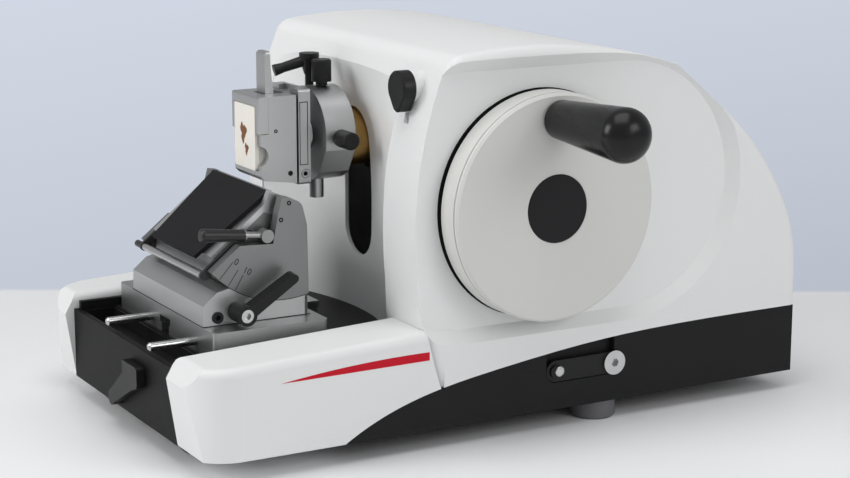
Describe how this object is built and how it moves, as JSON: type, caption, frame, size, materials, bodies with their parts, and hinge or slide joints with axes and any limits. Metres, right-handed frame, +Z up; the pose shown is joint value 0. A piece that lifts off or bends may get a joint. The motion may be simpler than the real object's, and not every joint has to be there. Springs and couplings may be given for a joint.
{
  "type": "rotary microtome",
  "caption": "Rotary microtome with a moulded housing, handwheel, orienting specimen head and sliding knife holder, for cutting thin sections.",
  "frame": {"origin": "on the table under the middle of the whole outline, handwheel grip included", "axes": "+Z up, -Y towards the operator, +X towards the handwheel"},
  "size_m": [0.426, 0.472, 0.265],
  "materials": {
    "white_shell": "satin",
    "black_casting": "textured",
    "black_panel": "textured",
    "grey_rubber": "matte",
    "black_plastic": "satin",
    "dark_cap": "satin",
    "pale_wheel": "satin",
    "steel": "brushed",
    "dark_steel": "satin",
    "black_metal": "satin",
    "iron": "machined",
    "bronze": "machined",
    "nickel": "polished",
    "anodised": "satin",
    "cassette_plastic": "matte",
    "wax": "waxy"
  },
  "bodies": {
    "frame": {"base_casting": "black_casting", "front_panel": "black_panel", "waste_tray": "black_plastic", "rubber_feet": "grey_rubber", "cover": "white_shell", "arm_left": "white_shell", "arm_right": "white_shell", "deck_rail": "steel", "main_bearing": "iron", "main_bushes": "bronze", "guide_frame": "iron", "guide_rods": "steel", "coarse_bearing": "iron", "knob_pointer": "black_plastic"},
    "wheel": {"handwheel": "pale_wheel", "wheel_cap": "dark_cap", "grip_spindle": "steel", "main_shaft": "steel", "crank_disc": "iron", "crank_pin": "steel"},
    "grip": {"handle_grip": "black_plastic"},
    "carriage": {"carriage": "iron", "carriage_bushes": "bronze", "yoke_plate": "steel"},
    "cylinder": {"specimen_cylinder": "bronze", "feed_nut": "bronze", "head_body": "nickel"},
    "gimbal": {"gimbal_shell": "steel"},
    "head": {"head_plate": "nickel", "cassette_clamp": "nickel", "cassette": "cassette_plastic", "paraffin_block": "wax"},
    "release": {"release_lever": "nickel"},
    "jaw": {"clamp_jaw": "nickel"},
    "head_clamp": {"head_clamp_lever": "black_metal"},
    "top_screw": {"top_knob": "black_plastic"},
    "side_screw": {"side_knob": "black_plastic"},
    "spindle": {"feed_spindle": "steel"},
    "upright_shaft": {"spline_shaft": "steel"},
    "gear": {"sliding_gear": "bronze"},
    "coarse": {"coarse_wheel": "black_metal", "coarse_shaft": "steel", "coarse_finger_knob": "black_plastic"},
    "thickness": {"thickness_knob": "black_plastic", "setting_cam": "steel"},
    "brake": {"brake_lever": "black_metal", "brake_shaft": "steel"},
    "knife_base": {"knife_base": "anodised", "base_pins": "steel"},
    "base_clamp": {"base_clamp_lever": "black_metal"},
    "holder": {"holder_block": "anodised", "eccentric_screws": "dark_steel"},
    "segment": {"segment_block": "anodised", "blade_back_plate": "anodised", "blade": "steel"},
    "clearance": {"clearance_lever": "black_plastic", "lever_screw": "dark_steel"},
    "plate": {"pressure_plate": "black_metal"},
    "blade_clamp": {"blade_lever": "black_metal"},
    "guard": {"knife_guard": "anodised"}
  },
  "joints": [
    {"name": "handwheel_turn", "type": "hinge", "parent": "frame", "child": "wheel", "pos_m": [0.11, 0.016, 0.1584], "axis": [1, 0, 0], "continuous": true},
    {"name": "grip_spin", "type": "hinge", "parent": "wheel", "child": "grip", "pos_m": [0.16, 0.016, 0.2184], "axis": [1, 0, 0], "continuous": true},
    {"name": "stroke", "type": "slide", "parent": "frame", "child": "carriage", "axis": [0, 0, 1], "range_m": [-0.059, 0]},
    {"name": "coarse_turn", "type": "hinge", "parent": "frame", "child": "coarse", "pos_m": [-0.1, 0.084, 0.096], "axis": [1, 0, 0], "range_deg": [-720, 2280]},
    {"name": "feed", "type": "slide", "parent": "carriage", "child": "cylinder", "axis": [0, -1, 0], "range_m": [-0.0061, 0.0191]},
    {"name": "upright_turn", "type": "hinge", "parent": "frame", "child": "upright_shaft", "pos_m": [-0.037, 0.084, 0.12], "axis": [0, 0, 1], "range_deg": [-2282, 722]},
    {"name": "sliding_gear_turn", "type": "hinge", "parent": "carriage", "child": "gear", "pos_m": [-0.037, 0.084, 0.18], "axis": [0, 0, 1], "range_deg": [-2282, 722]},
    {"name": "spindle_turn", "type": "hinge", "parent": "carriage", "child": "spindle", "pos_m": [-0.037, 0.05, 0.189], "axis": [0, 1, 0], "range_deg": [-722, 2282]},
    {"name": "head_pitch", "type": "hinge", "parent": "cylinder", "child": "gimbal", "pos_m": [-0.037, -0.086, 0.1945], "axis": [-1, 0, 0], "range_deg": [-8, 8]},
    {"name": "head_yaw", "type": "hinge", "parent": "gimbal", "child": "head", "pos_m": [-0.037, -0.086, 0.1945], "axis": [0, 0, 1], "range_deg": [-8, 8]},
    {"name": "side_knob_turn", "type": "hinge", "parent": "cylinder", "child": "side_screw", "pos_m": [0, -0.079, 0.1945], "axis": [1, 0, 0], "range_deg": [-242, 242]},
    {"name": "top_knob_turn", "type": "hinge", "parent": "cylinder", "child": "top_screw", "pos_m": [-0.034, -0.079, 0.236], "axis": [0, 0, 1], "range_deg": [-242, 242]},
    {"name": "head_clamp_turn", "type": "hinge", "parent": "cylinder", "child": "head_clamp", "pos_m": [-0.051, -0.08, 0.24], "axis": [0, 0, -1], "range_deg": [0, 60]},
    {"name": "cassette_release", "type": "hinge", "parent": "head", "child": "release", "pos_m": [-0.037, -0.12, 0.2185], "axis": [-1, 0, 0], "range_deg": [0, 20]},
    {"name": "jaw_slide", "type": "slide", "parent": "head", "child": "jaw", "axis": [0, 0, 1], "range_m": [0, 0.0031]},
    {"name": "thickness_turn", "type": "hinge", "parent": "frame", "child": "thickness", "pos_m": [0.071, -0.06, 0.2385], "axis": [0, -1, 0], "range_deg": [0, 300]},
    {"name": "brake_turn", "type": "hinge", "parent": "frame", "child": "brake", "pos_m": [0.102, 0.0765, 0.0406], "axis": [-1, 0, 0], "range_deg": [0, 7]},
    {"name": "knife_base_slide", "type": "slide", "parent": "frame", "child": "knife_base", "axis": [0, 1, 0], "range_m": [-0.024, 0]},
    {"name": "base_clamp_turn", "type": "hinge", "parent": "frame", "child": "base_clamp", "pos_m": [-0.012, -0.232, 0.045], "axis": [0, 1, 0], "range_deg": [0, 60]},
    {"name": "lateral_slide", "type": "slide", "parent": "knife_base", "child": "holder", "axis": [1, 0, 0], "range_m": [-0.022, 0.018]},
    {"name": "segment_tilt", "type": "hinge", "parent": "holder", "child": "segment", "pos_m": [-0.036, -0.1377, 0.1653], "axis": [1, 0, 0], "range_deg": [-5, 5]},
    {"name": "clearance_turn", "type": "hinge", "parent": "holder", "child": "clearance", "pos_m": [0.035, -0.173, 0.0905], "axis": [1, 0, 0], "range_deg": [0, 60]},
    {"name": "plate_swing", "type": "hinge", "parent": "segment", "child": "plate", "pos_m": [-0.036, -0.19015, 0.12522], "axis": [1, 0, 0], "range_deg": [0, 25]},
    {"name": "blade_lever_turn", "type": "hinge", "parent": "segment", "child": "blade_clamp", "pos_m": [0.02, -0.1502, 0.1389], "axis": [-1, 0, 0], "range_deg": [0, 60]},
    {"name": "guard_swing", "type": "hinge", "parent": "segment", "child": "guard", "pos_m": [-0.036, -0.1597, 0.1397], "axis": [1, 0, 0], "range_deg": [-155, 0]}
  ],
  "couplings": [
    {"joint": "feed", "follows": "coarse_turn", "m_per_rad": 0.00047746},
    {"joint": "upright_turn", "follows": "coarse_turn", "ratio": -1},
    {"joint": "sliding_gear_turn", "follows": "coarse_turn", "ratio": -1},
    {"joint": "spindle_turn", "follows": "coarse_turn", "ratio": 1},
    {"joint": "side_knob_turn", "follows": "head_pitch", "ratio": 30},
    {"joint": "top_knob_turn", "follows": "head_yaw", "ratio": 30},
    {"joint": "jaw_slide", "follows": "cassette_release", "m_per_rad": 0.0088}
  ]
}
